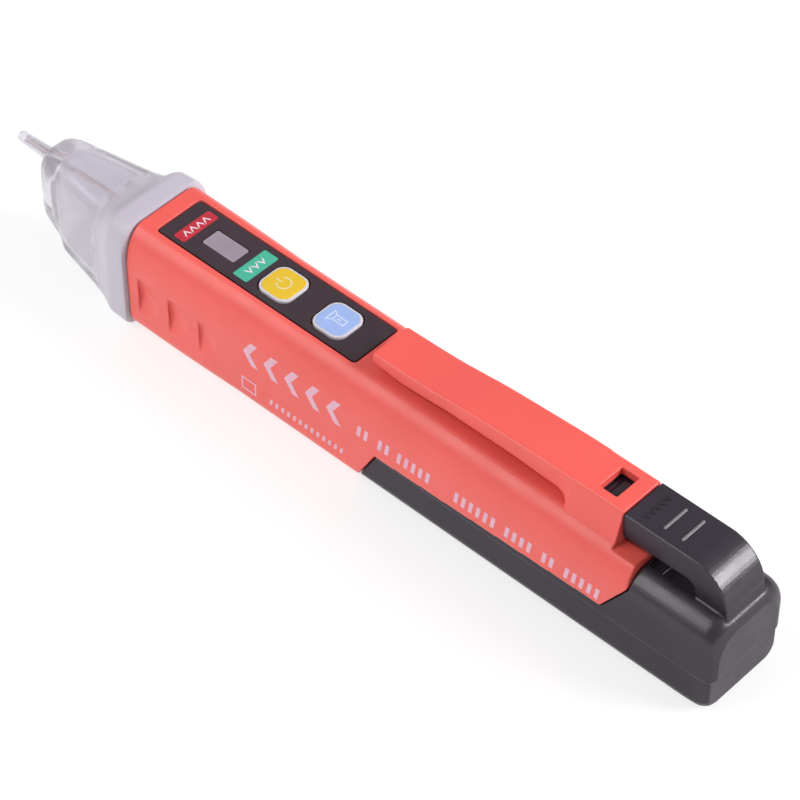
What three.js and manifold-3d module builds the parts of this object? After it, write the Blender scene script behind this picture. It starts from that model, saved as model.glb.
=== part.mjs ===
// Non contact voltage tester pen: clear sensing nose, moulded upper housing with a display and two buttons, a
// pocket clip, and a battery drawer that slides out of the rear once its latch is pressed.
// Millimetres, +Z up. Stations along the pen run from TIP at the probe to REAR at the drawer's end; the outer group
// then centres the pen, so the part's origin is under its middle, on the plane it lies on. The tip points to -X.
import * as THREE from "three";
import { mergeVertices } from "three/addons/utils/BufferGeometryUtils.js";
import Module from "manifold-3d";

const wasm = await Module();
wasm.setup();

// Driving dimensions
const TIP = 1.5;
const REAR = 160;
const GAP = 0.3;
const WALL = 1.5;
const CORNER_STEPS = 6;

const BODY_HALF_WIDTH = 8.8;
const BODY_TOP = 21.2;
const BODY_START = 37;
const SPIGOT_START = 31.6;
const BODY_END = 143.3;
const SHELF_TOP = 20.3;

const PROBE_RADIUS = 1.0;
const PROBE_ROOT_RADIUS = 1.4;
const PROBE_Z = 15.2;
const NOSE_START = 9.4;
const NOSE_WALL = 1.4;
const FLANGE_START = 31.2;
const FLANGE_END = 36.7;
const FLANGE_HALF_WIDTH = 9.9;
const FLANGE_TOP = 21.5;

const PANEL_START = 40.5;
const PANEL_END = 84.3;
const PANEL_HALF_WIDTH = 4.8;
const PANEL_TOP = 21.1;
const PANEL_THICKNESS = 0.5;
const DISPLAY_X = 51.1;
const DISPLAY_LENGTH = 7.4;
const DISPLAY_WIDTH = 4.0;
const BUTTON_SIZE = 6.8;
const BUTTON_CORNER = 2.0;
const BUTTON_RISE = 0.3;
const BUTTON_STATIONS = { power: 64.2, light: 76.1 };

const CLIP_START = 87.4;
const CLIP_ROOT = 128.3;
const SEAM_X = 138.4;
const CLIP_TOP = 26.8;
const CLIP_HALF_WIDTH = 4.4;
const WINDOW = { start: 132.3, end: 135.7, halfWidth: 2.6 };

const CELL_RADIUS = 5.25;
const CELL_LENGTH = 44.5;
const CELL_Z = 8.1;
const CELL_START = 64;
const TRAY_HALF_WIDTH = 6.9;
const TRAY_START = 62.2;
const TRAY_TOP = 12.6;
const CAP_START = 143.6;
const CAP_TOP = 19.2;

const BOARD_BOTTOM = 14.5;
const BOARD_THICKNESS = 1.0;
const BOARD_TOP = BOARD_BOTTOM + BOARD_THICKNESS;
const BOARD_SCREWS = [57.7, 97.5];
const TONGUE_START = 26;
const PLUNGER_TOP = 17.0;

// Solids: geometry to manifold and back, so that pieces can be joined and cut.
function solid(geometry) {
  const bare = geometry.clone();
  bare.deleteAttribute("normal");
  bare.deleteAttribute("uv");
  const merged = mergeVertices(bare, 1e-4);
  return new wasm.Manifold(
    new wasm.Mesh({
      numProp: 3,
      vertProperties: merged.attributes.position.array,
      triVerts: new Uint32Array(merged.index.array),
    }),
  );
}

function geometryOf(manifold) {
  const mesh = manifold.getMesh();
  const geometry = new THREE.BufferGeometry();
  geometry.setAttribute("position", new THREE.BufferAttribute(mesh.vertProperties, 3));
  geometry.setIndex(new THREE.BufferAttribute(mesh.triVerts, 1));
  return geometry;
}

const join = (first, ...others) => geometryOf(others.reduce((sum, g) => sum.add(solid(g)), solid(first)));
const cut = (body, ...tools) => geometryOf(tools.reduce((rest, g) => rest.subtract(solid(g)), solid(body)));
const keep = (body, tool) => geometryOf(solid(body).intersect(solid(tool)));

// A closed cross-section in the YZ plane, flat above and below with rounded corners. corner sizes are [across, up];
// every section has the same number of points, so that sections can be lofted.
function section(halfWidth, bottom, top, topCorner, bottomCorner, bend = 2) {
  const corners = [
    { y: 1, z: -1, corner: bottomCorner, edge: bottom, from: -90 },
    { y: 1, z: 1, corner: topCorner, edge: top, from: 0 },
    { y: -1, z: 1, corner: topCorner, edge: top, from: 90 },
    { y: -1, z: -1, corner: bottomCorner, edge: bottom, from: 180 },
  ];
  const points = [];
  for (const { y, z, corner, edge, from } of corners) {
    for (let step = 0; step <= CORNER_STEPS; step++) {
      const angle = THREE.MathUtils.degToRad(from + (90 * step) / CORNER_STEPS);
      const across = Math.pow(Math.abs(Math.cos(angle)), 2 / bend) * corner[0];
      const up = Math.pow(Math.abs(Math.sin(angle)), 2 / bend) * corner[1];
      points.push([y * (halfWidth - corner[0] + across), edge - z * (corner[1] - up)]);
    }
  }
  return points;
}

// A closed solid through sections at increasing stations along X.
function loft(stations) {
  const count = stations[0].ring.length;
  const positions = [];
  const index = [];
  for (const { x, ring } of stations) {
    for (const [y, z] of ring) positions.push(x, y, z);
  }
  for (let row = 0; row + 1 < stations.length; row++) {
    for (let i = 0; i < count; i++) {
      const a = row * count + i;
      const b = row * count + ((i + 1) % count);
      index.push(a, b, a + count, b, b + count, a + count);
    }
  }
  const last = stations.length - 1;
  for (const [row, facing] of [[0, -1], [last, 1]]) {
    const ring = stations[row].ring;
    const middle = positions.length / 3;
    const centre = [0, 1].map((axis) => ring.reduce((sum, p) => sum + p[axis], 0) / count);
    positions.push(stations[row].x, ...centre);
    for (let i = 0; i < count; i++) {
      const a = row * count + i;
      const b = row * count + ((i + 1) % count);
      index.push(middle, ...(facing > 0 ? [a, b] : [b, a]));
    }
  }
  const geometry = new THREE.BufferGeometry();
  geometry.setAttribute("position", new THREE.Float32BufferAttribute(positions, 3));
  geometry.setIndex(index);
  return geometry;
}

function box(x, y, z) {
  const geometry = new THREE.BoxGeometry(x[1] - x[0], y[1] - y[0], z[1] - z[0]);
  return geometry.translate((x[0] + x[1]) / 2, (y[0] + y[1]) / 2, (z[0] + z[1]) / 2);
}

const across = (halfWidth) => [-halfWidth, halfWidth];

// A cylinder, cone or tapered pin along X.
function rod(x0, x1, y, z, startRadius, endRadius = startRadius, sides = 24) {
  const geometry = new THREE.CylinderGeometry(endRadius, startRadius, x1 - x0, sides);
  return geometry.rotateZ(-Math.PI / 2).translate((x0 + x1) / 2, y, z);
}

// A round post along Z.
function post(x, y, z0, z1, radius, sides = 24) {
  const geometry = new THREE.CylinderGeometry(radius, radius, z1 - z0, sides);
  return geometry.rotateX(Math.PI / 2).translate(x, y, (z0 + z1) / 2);
}

// A side outline [x, z] pushed through the pen's width, with eased long edges.
function sideProfile(outline, halfWidth, ease = 0) {
  const shape = new THREE.Shape(outline.map(([x, z]) => new THREE.Vector2(x, z)));
  const geometry = new THREE.ExtrudeGeometry(shape, {
    depth: 2 * (halfWidth - ease),
    bevelEnabled: ease > 0,
    bevelThickness: ease,
    bevelSize: ease,
    bevelOffset: -ease,
    bevelSegments: 2,
  });
  return geometry.rotateX(Math.PI / 2).translate(0, halfWidth - ease, 0);
}

// A flat plate with round corners, seen from above.
function plate(x, halfWidth, z, radius) {
  const shape = new THREE.Shape();
  const ends = [
    [x[1] - radius, halfWidth - radius, 0],
    [x[0] + radius, halfWidth - radius, 90],
    [x[0] + radius, radius - halfWidth, 180],
    [x[1] - radius, radius - halfWidth, 270],
  ];
  for (const [cx, cy, from] of ends) {
    const start = THREE.MathUtils.degToRad(from);
    shape.absarc(cx, cy, radius, start, start + Math.PI / 2, false);
  }
  const geometry = new THREE.ExtrudeGeometry(shape, { depth: z[1] - z[0], bevelEnabled: false, curveSegments: 6 });
  return geometry.translate(0, 0, z[0]);
}

const centred = (x, size) => [x - size / 2, x + size / 2];

function material(colour, roughness, extra = {}) {
  return new THREE.MeshStandardMaterial({ color: colour, roughness, ...extra });
}

function piece(name, geometry, finish) {
  const mesh = new THREE.Mesh(geometry, finish());
  mesh.name = name;
  return mesh;
}

const redPlastic = () => material(0xf0695f, 0.45);
const darkPlastic = () => material(0x4a444c, 0.5);
const glossBlack = () => material(0x2b272d, 0.2);
const clearPlastic = () => material(0xd8d4de, 0.15, { transparent: true, opacity: 0.5 });
const blackRubber = () => material(0x222222, 0.8);
const steel = () => material(0xc8c8cc, 0.3, { metalness: 1 });
const copper = () => material(0xb87c4c, 0.35, { metalness: 1 });
const boardGreen = () => material(0x2f6b45, 0.5);

// Outer shape of the housing: slightly wider behind the nose, then straight to the rear.
function bodySection(inset, width = BODY_HALF_WIDTH, top = BODY_TOP, corner = 2.8) {
  const topCorner = [4.0 - inset * 0.9, 7.5 - inset * 0.9];
  const bottomCorner = [corner - inset * 0.7, corner - inset * 0.7];
  return section(width - inset, inset, top - inset, topCorner, bottomCorner);
}

// The line along which the drawer meets the housing, seen from the side: a slanted front end, a long edge that
// rises a little to the rear, and a slanted step up behind the side wall. shift moves it forward and up.
function partingOutline(shift) {
  return [
    [86.6 - shift, -2],
    [92.3 - shift, 8.2 + shift],
    [138.7 - shift, 9.6 + shift],
    [BODY_END - shift, 16.4 + shift],
    [BODY_END - shift, 40],
    [REAR + 10, 40],
    [REAR + 10, -2],
  ];
}

// Shallow finger scallops on both sides: each drops in at its front edge and runs out to the rear.
function gripScallops() {
  const stations = [39.4, 46.4, 53.3];
  const depth = 0.6;
  const run = 5;
  const heights = [4.8, 12.6];
  return [-1, 1].flatMap((side) =>
    stations.map((x) => {
      const face = side * 9.25;
      const shape = new THREE.Shape([
        new THREE.Vector2(x, face - side * depth),
        new THREE.Vector2(x + run, face),
        new THREE.Vector2(x + run, face + side * 2),
        new THREE.Vector2(x, face + side * 2),
      ]);
      const geometry = new THREE.ExtrudeGeometry(shape, { depth: heights[1] - heights[0], bevelEnabled: false });
      return geometry.translate(0, 0, heights[0]);
    }),
  );
}

// The bridge that the clip grows from, with a tunnel for the latch tongue and a window for its hook.
function clipRoot() {
  const flare = (top) => {
    const half = [[6.2, 19.6], [5.5, 22.2], [4.9, 24.2], [CLIP_HALF_WIDTH, top - 0.6], [CLIP_HALF_WIDTH - 0.6, top]];
    const mirrored = half.map(([y, z]) => [-y, z]).reverse();
    return [...half, ...mirrored];
  };
  return loft([
    { x: CLIP_ROOT, ring: flare(26.7) },
    { x: SEAM_X, ring: flare(CLIP_TOP) },
  ]);
}

function upperHousing() {
  const outer = loft([
    { x: BODY_START, ring: bodySection(0, 9.2, 21.3, 3.2) },
    { x: 46, ring: bodySection(0, 9.1, 21.25, 3.0) },
    { x: 62, ring: bodySection(0) },
    { x: BODY_END, ring: bodySection(0) },
  ]);
  const spigot = loft([
    { x: SPIGOT_START, ring: bodySection(2.2) },
    { x: BODY_START + 1, ring: bodySection(2.2) },
  ]);
  const spigotHollow = loft([
    { x: SPIGOT_START - 1, ring: bodySection(3.4) },
    { x: BODY_START + 2, ring: bodySection(3.4) },
  ]);
  const sealGroove = cut(
    box([33, 34.8], across(20), [-5, 30]),
    loft([{ x: 32, ring: bodySection(2.8) }, { x: 36, ring: bodySection(2.8) }]),
  );
  const frontHollow = loft([
    { x: BODY_START + 1.5, ring: bodySection(WALL) },
    { x: 122, ring: bodySection(WALL) },
  ]);
  const rearHollow = loft([
    { x: 120, ring: section(BODY_HALF_WIDTH - WALL, WALL, 18.2, [2.6, 4.6], [2.2, 2.2]) },
    { x: BODY_END + 2, ring: section(BODY_HALF_WIDTH - WALL, WALL, 18.2, [2.6, 4.6], [2.2, 2.2]) },
  ]);
  const shelfStep = box([SEAM_X, BODY_END + 5], across(12), [SHELF_TOP, 40]);
  const tunnel = box([130.2, SEAM_X + 5], across(3.4), [20.1, 25.1]);
  const window = box([WINDOW.start, WINDOW.end], across(WINDOW.halfWidth), [24, 30]);
  const recess = plate([PANEL_START - GAP, PANEL_END + GAP], PANEL_HALF_WIDTH + GAP, [20.3, 24], 0.8);
  const displayOpening = box(centred(DISPLAY_X, DISPLAY_LENGTH + 0.8), across(2.5), [18, 24]);
  const buttonOpenings = Object.values(BUTTON_STATIONS).map((x) =>
    buttonOutline(x, GAP, [18, 24]),
  );
  const bosses = BOARD_SCREWS.map((x) => post(x, 0, BOARD_TOP + GAP, 20, 2.2));
  const bossHoles = BOARD_SCREWS.map((x) => post(x, 0, BOARD_TOP - 1, 18.6, 0.95, 16));
  const shell = join(cut(join(outer, spigot), spigotHollow, frontHollow, rearHollow), clipRoot(), ...bosses);
  return cut(
    shell,
    sealGroove,
    sideProfile(partingOutline(GAP), 12),
    shelfStep,
    tunnel,
    window,
    recess,
    displayOpening,
    ...buttonOpenings,
    ...bossHoles,
    ...gripScallops(),
  );
}

// Clear nose: a blunt tapered beak that widens to a proud collar around the housing spigot.
function noseSection(halfWidth, bottom, top, inset = 0) {
  const topCorner = [Math.min(4.2, halfWidth * 0.72) - inset * 0.8, (top - bottom) * 0.36 - inset * 0.8];
  const bottomCorner = [Math.min(2.4, halfWidth * 0.6) - inset * 0.8, (top - bottom) * 0.13 - inset * 0.5];
  return section(halfWidth - inset, bottom + inset, top - inset, topCorner, bottomCorner);
}

function noseCone() {
  const beak = [
    [NOSE_START, 1.9, 8.6, 16.4],
    [NOSE_START + 0.6, 3.0, 6.6, 17.5],
    [NOSE_START + 1.7, 4.2, 5.6, 18.7],
    [12.9, 5.1, 5.2, 19.3],
    [15.2, 5.7, 4.5, 19.5],
    [17, 6.1, 3.8, 19.55],
    [18, 6.4, 1.8, 19.6],
    [23, 7.3, 1.2, 19.6],
    [FLANGE_START - 1.6, 8.6, 0.5, 19.8],
  ];
  const collar = [
    [FLANGE_START - 0.2, 9.1, 0.25, 20.2],
    [FLANGE_START + 0.8, 9.5, 0.1, 21.0],
    [FLANGE_START + 1.8, 9.8, 0, 21.4],
    [FLANGE_END - 0.5, FLANGE_HALF_WIDTH, 0, FLANGE_TOP],
    [FLANGE_END, FLANGE_HALF_WIDTH - 0.3, 0.2, FLANGE_TOP - 0.3],
  ];
  const outer = loft([...beak, ...collar].map(([x, ...shape]) => ({ x, ring: noseSection(...shape) })));
  const hollow = loft([
    { x: 14, ring: noseSection(4.9, 5.6, 18.8, NOSE_WALL) },
    { x: 18.2, ring: noseSection(6.5, 2.6, 19.5, NOSE_WALL) },
    { x: FLANGE_START - 0.6, ring: noseSection(8.3, 1.2, 19.75, NOSE_WALL) },
    { x: FLANGE_START, ring: bodySection(1.7) },
    { x: FLANGE_END + 1, ring: bodySection(1.7) },
  ]);
  const probe = join(
    rod(TIP + PROBE_RADIUS, 13, 0, PROBE_Z, PROBE_RADIUS, PROBE_ROOT_RADIUS),
    new THREE.SphereGeometry(PROBE_RADIUS, 24, 12).translate(TIP + PROBE_RADIUS, 0, PROBE_Z),
  );
  const antennaBore = rod(TIP + 1.8, 15, 0, PROBE_Z, 0.6, 0.6, 12);
  return cut(join(cut(outer, hollow), probe), antennaBore);
}

function noseSeal() {
  const outer = loft([{ x: 33.3, ring: bodySection(1.95) }, { x: 34.5, ring: bodySection(1.95) }]);
  const inner = loft([{ x: 32, ring: bodySection(2.55) }, { x: 36, ring: bodySection(2.55) }]);
  return cut(outer, inner);
}

function keypadPanel() {
  const bottom = PANEL_TOP - PANEL_THICKNESS;
  const film = plate([PANEL_START, PANEL_END], PANEL_HALF_WIDTH, [bottom, PANEL_TOP], 0.5);
  const displayHole = box(centred(DISPLAY_X, DISPLAY_LENGTH), across(DISPLAY_WIDTH / 2), [15, 25]);
  const buttonHoles = Object.values(BUTTON_STATIONS).map((x) =>
    buttonOutline(x, GAP, [15, 25]),
  );
  return cut(film, displayHole, ...buttonHoles);
}

function displayWindow() {
  const length = DISPLAY_LENGTH - GAP;
  return plate(centred(DISPLAY_X, length), (DISPLAY_WIDTH - GAP) / 2, [PANEL_TOP - 0.8, PANEL_TOP - 0.05], 0.3);
}

// A button's outline grown by a margin, for the cap, its flange and the openings around it.
function buttonOutline(x, margin, z) {
  return plate(centred(x, BUTTON_SIZE + 2 * margin), BUTTON_SIZE / 2 + margin, z, BUTTON_CORNER + margin);
}

// A button cap with a retaining flange under the housing's top wall and a stem that meets the switch plunger.
function buttonCap(x) {
  const ceiling = BODY_TOP - WALL;
  const cap = buttonOutline(x, 0, [18.6, PANEL_TOP + BUTTON_RISE]);
  const flange = buttonOutline(x, 0.6, [18.5, ceiling - GAP - 0.2]);
  return join(cap, flange, post(x, 0, PLUNGER_TOP + GAP, 18.8, 1.2));
}

function switchBody(x) {
  const body = box(centred(x, 4.6), across(2.3), [BOARD_TOP + GAP, 16.6]);
  return cut(body, post(x, 0, 14, 18, 1.5));
}

const switchPlunger = (x) => post(x, 0, 16.05, PLUNGER_TOP, 1.15);

// The board: a narrow tongue reaches into the nose with the indicators, the wide part carries the rest.
function mainBoard() {
  const wide = plate([39.2, 118], 6.0, [BOARD_BOTTOM, BOARD_TOP], 0.8);
  const tongue = box([TONGUE_START, 40], across(3.4), [BOARD_BOTTOM, BOARD_TOP]);
  const holes = BOARD_SCREWS.map((x) => post(x, 0, BOARD_BOTTOM - 1, BOARD_TOP + 1, 1.2, 16));
  return cut(join(wide, tongue), ...holes);
}

function boardScrew(x) {
  const headTop = BOARD_BOTTOM - GAP;
  return join(post(x, 0, headTop - 0.6, headTop, 1.9, 20), post(x, 0, headTop - 0.3, 18.2, 0.65, 12));
}

// A round-headed indicator lamp lying along X with its dome towards the tip.
function lamp(x, y, z, radius, length) {
  const profile = [new THREE.Vector2(0, 0), new THREE.Vector2(radius * 1.15, 0), new THREE.Vector2(radius * 1.15, 0.7)];
  profile.push(new THREE.Vector2(radius, 0.7));
  for (let step = 0; step <= 6; step++) {
    const angle = (step / 6) * (Math.PI / 2);
    profile.push(new THREE.Vector2(radius * Math.cos(angle), length - radius + radius * Math.sin(angle)));
  }
  profile[profile.length - 1].x = 0;
  return new THREE.LatheGeometry(profile, 20).rotateZ(Math.PI / 2).translate(x, y, z);
}

// Cell: a plain can with a small raised terminal towards the tip.
function cell(x) {
  const nub = 1.0;
  return join(
    rod(x + nub, x + CELL_LENGTH, 0, CELL_Z, CELL_RADIUS, CELL_RADIUS, 32),
    rod(x, x + nub + 0.5, 0, CELL_Z, 1.9, 1.9, 20),
  );
}

// A conical coil spring along X, one round wire swept round a narrowing helix.
function contactSpring(x0, x1) {
  const turns = 2.5;
  const steps = 40;
  const path = [];
  for (let step = 0; step <= steps; step++) {
    const t = step / steps;
    const radius = 2.2 + 1.6 * t;
    const angle = t * turns * 2 * Math.PI;
    const x = x0 + (x1 - x0) * t;
    path.push(new THREE.Vector3(x, radius * Math.cos(angle), CELL_Z + radius * Math.sin(angle)));
  }
  const wire = new THREE.Shape().absarc(0, 0, 0.28, 0, 2 * Math.PI, false);
  const curve = new THREE.CatmullRomCurve3(path);
  return new THREE.ExtrudeGeometry(wire, { steps, curveSegments: 3, extrudePath: curve });
}

// Battery drawer: the dark underside and end cap that show, and a tray that reaches forward under the board.
function batteryDrawer() {
  const stations = [
    [80, 8.7, 0, CAP_TOP],
    [154.5, 8.65, 0, CAP_TOP],
    [157.3, 8.6, 0.2, 19.1],
    [158.8, 8.4, 0.9, 18.6],
    [159.6, 7.9, 2.0, 17.8],
    [REAR, 7.0, 3.4, 16.6],
  ];
  const outer = loft(
    stations.map(([x, width, bottom, top]) => ({ x, ring: section(width, bottom, top, [4.1, 2.6], [2.4, 2.4]) })),
  );
  const exposed = keep(outer, sideProfile(partingOutline(0), 12));
  const traySection = section(TRAY_HALF_WIDTH, 1.9, TRAY_TOP, [0.4, 0.4], [2.2, 2.2]);
  const tray = loft([{ x: TRAY_START, ring: traySection }, { x: CAP_START + 1, ring: traySection }]);
  const channelRoom = [CELL_START - 0.6, 143];
  const trough = rod(CELL_START - 0.6, 156.6, 0, CELL_Z, CELL_RADIUS + GAP, CELL_RADIUS + GAP, 32);
  const opening = box(channelRoom, across(CELL_RADIUS + GAP), [CELL_Z, 30]);
  const aboveTray = box([80, CAP_START], across(12), [TRAY_TOP, 30]);
  const latchPocket = box([144.4, 152.4], across(4.3), [15, 22]);
  const frontHole = rod(TRAY_START - 1, CELL_START + 1, 0, CELL_Z, 2.6);
  return cut(
    join(exposed, tray),
    trough,
    opening,
    cut(aboveTray, sideProfile(drawerShoulder(), 13)),
    latchPocket,
    frontHole,
  );
}

// The part of the drawer that stays outside the housing behind its slanted rear edge.
function drawerShoulder() {
  return [
    [138.7, 9.6],
    [BODY_END + GAP, 16.4],
    [BODY_END + GAP, 40],
    [REAR + 10, 40],
    [REAR + 10, 9.6],
  ];
}

// Press latch: an arm that bridges over the drawer's shoulder, sprung by its rear leg. A tongue reaches forward
// into the clip root, and its hook stands in the clip window.
function releaseLatch() {
  const front = SEAM_X + GAP + 0.1;
  const bend = { x: 151.8, radius: 7, from: 5.4, to: 90 };
  const legFoot = CAP_TOP + 0.35;
  const armTop = CLIP_TOP - 0.1;
  const outline = [[front, 21.8], [151.4, 21.8], [152.2, 21.2], [152.8, legFoot], [158.7, legFoot]];
  for (let step = 0; step <= CORNER_STEPS; step++) {
    const angle = THREE.MathUtils.degToRad(bend.from + ((bend.to - bend.from) * step) / CORNER_STEPS);
    const rise = Math.sin(angle) * bend.radius - bend.radius;
    outline.push([bend.x + Math.cos(angle) * bend.radius, armTop + rise]);
  }
  outline.push([front, armTop]);
  const arm = sideProfile(outline, CLIP_HALF_WIDTH, 0.5);
  const tongue = box([131, front + 3], across(3.0), [21.9, 24.7]);
  const hook = sideProfile([[132.7, 24], [135.4, 24], [135.4, 25.3], [134.6, 25.9], [132.7, 25.9]], 2.2);
  return join(arm, tongue, hook);
}

// Pocket clip: a spring arm that runs forward over the housing, thickening to a turned-up front end.
function pocketClip() {
  const stations = [
    [CLIP_START, 3.9, 23.0, 24.5],
    [CLIP_START + 0.4, 4.0, 22.8, 24.65],
    [93.7, 4.1, 22.2, 24.8],
    [99, 4.15, 22.5, 24.9],
    [103.5, 4.2, 22.9, 25.4],
    [107.5, 4.25, 23.0, 25.8],
    [116, 4.3, 23.1, 26.3],
    [CLIP_ROOT - GAP, CLIP_HALF_WIDTH, 22.8, 26.7],
  ];
  return loft(
    stations.map(([x, width, bottom, top]) => ({ x, ring: section(width, bottom, top, [0.6, 0.4], [0.3, 0.2]) })),
  );
}

function contactCarrier() {
  const block = box([56.6, 61.8], across(6.4), [2.2, 12.8]);
  return cut(block, rod(55, 63, 0, CELL_Z, 1.8), rod(55, 58.2, 0, CELL_Z, 3.4));
}

function frontContact() {
  return join(rod(57, 57.8, 0, CELL_Z, 3.0), rod(57.2, CELL_START - GAP, 0, CELL_Z, 1.4));
}

const displayModule = () => box([45.6, 55.2], across(4.2), [16.9, 19.1]);
const displayConnector = () => box([46.6, 54.8], [2.4, 3.9], [BOARD_TOP + GAP, 16.6]);
const controllerChip = () => box([84, 91], across(3.5), [BOARD_TOP + GAP, 16.9]);
const buzzer = () => post(108, 0, BOARD_TOP + GAP, 17.9, 4.6, 32);
const sensingAntenna = () => rod(TIP + 2.2, TONGUE_START - GAP, 0, PROBE_Z, 0.3, 0.3, 10);
const rearContact = () => rod(155.9, 156.3, 0, CELL_Z, 4.6);
const returnStrip = () => box([65, 139], [-6.7, -5.7], [TRAY_TOP + GAP, TRAY_TOP + GAP + 0.3]);
const returnLeaf = () => box([66, 72], [-6.4, -5.5], [13.5, 14.2]);

const pieces = [
  piece("upper_housing", upperHousing(), redPlastic),
  piece("nose_cone", noseCone(), clearPlastic),
  piece("nose_seal", noseSeal(), blackRubber),
  piece("keypad_panel", keypadPanel(), glossBlack),
  piece("display_window", displayWindow(), clearPlastic),
  piece("display_module", displayModule(), () => material(0x8a8f86, 0.3)),
  piece("display_connector", displayConnector(), blackRubber),
  piece("main_board", mainBoard(), boardGreen),
  piece("controller_chip", controllerChip(), () => material(0x1c1c1e, 0.5)),
  piece("buzzer", buzzer(), () => material(0x1f1f22, 0.5)),
  piece("sensing_antenna", sensingAntenna(), copper),
  piece("red_indicator", lamp(31.2, -1.9, 17.0, 1.0, 5.4), () => material(0xc83a3a, 0.2)),
  piece("green_indicator", lamp(31.2, 1.9, 17.0, 1.0, 5.4), () => material(0x3aa064, 0.2)),
  piece("torch_lamp", lamp(31.2, 0, 10.8, 2.3, 8), () => material(0xf2f2ea, 0.1)),
  piece("contact_carrier", contactCarrier(), darkPlastic),
  piece("front_contact", frontContact(), steel),
  piece("return_leaf", returnLeaf(), steel),
  piece("pocket_clip", pocketClip(), redPlastic),
  piece("battery_drawer", batteryDrawer(), darkPlastic),
  piece("release_latch", releaseLatch(), darkPlastic),
  piece("front_cell", cell(CELL_START), () => material(0x3d6f9c, 0.3)),
  piece("rear_cell", cell(CELL_START + CELL_LENGTH + GAP), () => material(0x3d6f9c, 0.3)),
  piece("rear_contact", rearContact(), steel),
  piece("rear_spring", contactSpring(154.0, 155.3), steel),
  piece("return_strip", returnStrip(), steel),
];

const buttonColours = { power: 0xf0c82d, light: 0xa5bef0 };
for (const [use, x] of Object.entries(BUTTON_STATIONS)) {
  pieces.push(piece(`${use}_button`, buttonCap(x), () => material(buttonColours[use], 0.4)));
  pieces.push(piece(`${use}_switch`, switchBody(x), steel));
  pieces.push(piece(`${use}_plunger`, switchPlunger(x), () => material(0x202020, 0.5)));
}
BOARD_SCREWS.forEach((x, i) => pieces.push(piece(`board_screw_${i + 1}`, boardScrew(x), steel)));

const pen = new THREE.Group();
pen.position.x = -(TIP + REAR) / 2;
pen.add(...pieces);

const tester = new THREE.Group();
tester.add(pen);

export default tester;
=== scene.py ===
import math

import bmesh
import bpy
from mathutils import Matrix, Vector


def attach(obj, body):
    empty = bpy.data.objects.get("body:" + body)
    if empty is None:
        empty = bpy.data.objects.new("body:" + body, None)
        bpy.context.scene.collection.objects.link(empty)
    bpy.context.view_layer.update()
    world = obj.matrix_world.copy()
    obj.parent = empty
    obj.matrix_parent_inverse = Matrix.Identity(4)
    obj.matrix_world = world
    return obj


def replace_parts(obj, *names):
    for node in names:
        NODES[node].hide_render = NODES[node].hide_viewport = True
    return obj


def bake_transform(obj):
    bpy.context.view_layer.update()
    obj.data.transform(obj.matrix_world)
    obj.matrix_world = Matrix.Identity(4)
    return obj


# Looks of a non contact voltage tester pen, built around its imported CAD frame.
# Pieces are modelled in millimetres, at the CAD source's stations along the pen: the probe starts
# at TIP and the drawer ends at REAR. place() turns them into the frame's metres, with the origin
# under the middle of the pen. Cutting tools span SIDES, which is wider than the pen.

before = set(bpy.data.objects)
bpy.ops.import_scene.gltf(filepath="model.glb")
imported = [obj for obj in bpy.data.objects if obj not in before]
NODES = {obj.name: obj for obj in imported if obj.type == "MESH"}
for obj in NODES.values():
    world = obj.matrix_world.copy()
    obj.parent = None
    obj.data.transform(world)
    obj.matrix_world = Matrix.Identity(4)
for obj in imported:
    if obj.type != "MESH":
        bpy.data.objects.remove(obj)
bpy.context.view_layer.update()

MM = 0.001
TIP = 1.5
REAR = 160.0
MIDDLE = (TIP + REAR) / 2
GAP = 0.3
WALL = 1.5
SIDES = (-12, 12)
CORNER_STEPS = 12
COARSE = 1.0

BODY_HALF_WIDTH = 8.8
BODY_TOP = 21.2
BODY_START = 37.0
BODY_END = 143.3
SIDE_FLAT_TOP = 13.7
SCALLOPS = (39.4, 46.4, 53.3)
BOARD_SCREWS = (57.7, 97.5)
PANEL = (40.5, 84.3)
PANEL_HALF_WIDTH = 4.8
PANEL_TOP = 21.1
DISPLAY_X = 51.1
BUTTONS = {"power": 64.2, "light": 76.1}
CLIP_START = 87.4
CLIP_HALF_WIDTH = 4.4
SEAM_X = 138.4
TUNNEL_START = 130.2
TUNNEL_HALF_WIDTH = 3.4
TUNNEL_TOP = 25.1
ARM_TOP = 26.55
CELL_START = 64.0
CELL_PITCH = 44.8
CELL_Z = 8.1
TROUGH_RADIUS = 5.55
CAP_TOP = 19.2
PROBE_Z = 15.2
BELT_Z = 7.9
BELT_STEP = 0.35
NOSE_START = 9.4
FLANGE_END = 36.7
NOSE_WALL = 1.4
BUTTON_SIZE = 6.8
BUTTON_FLANGE = 8.0
BUTTON_FACE = 6.1
BUTTON_RISE = 0.24
SEAM_GAP = 0.25
PARTING_GAP = 0.15


# ---------------------------------------------------------------- mesh helpers

def mesh_object(name, points, faces):
    mesh = bpy.data.meshes.new(name)
    mesh.from_pydata([tuple(p) for p in points], [], faces)
    work = bmesh.new()
    work.from_mesh(mesh)
    bmesh.ops.recalc_face_normals(work, faces=work.faces)
    work.to_mesh(mesh)
    work.free()
    obj = bpy.data.objects.new(name, mesh)
    bpy.context.scene.collection.objects.link(obj)
    return obj


def loft(rings):
    """A closed solid through rings with the same number of points."""
    count = len(rings[0])
    points = [p for ring in rings for p in ring]
    faces = [list(range(count)), [len(points) - count + i for i in range(count)]]
    for row in range(len(rings) - 1):
        for i in range(count):
            a, b = row * count + i, row * count + (i + 1) % count
            faces.append([a, b, b + count, a + count])
    return mesh_object("loft", points, faces)


def prism(outline, axis, low, high):
    """An outline pushed along one axis. It lies in XZ for axis y, and in XY for axis z."""
    if axis == "y":
        rings = [[(u, depth, v) for u, v in outline] for depth in (low, high)]
    else:
        rings = [[(u, v, depth) for u, v in outline] for depth in (low, high)]
    return loft(rings)


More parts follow.
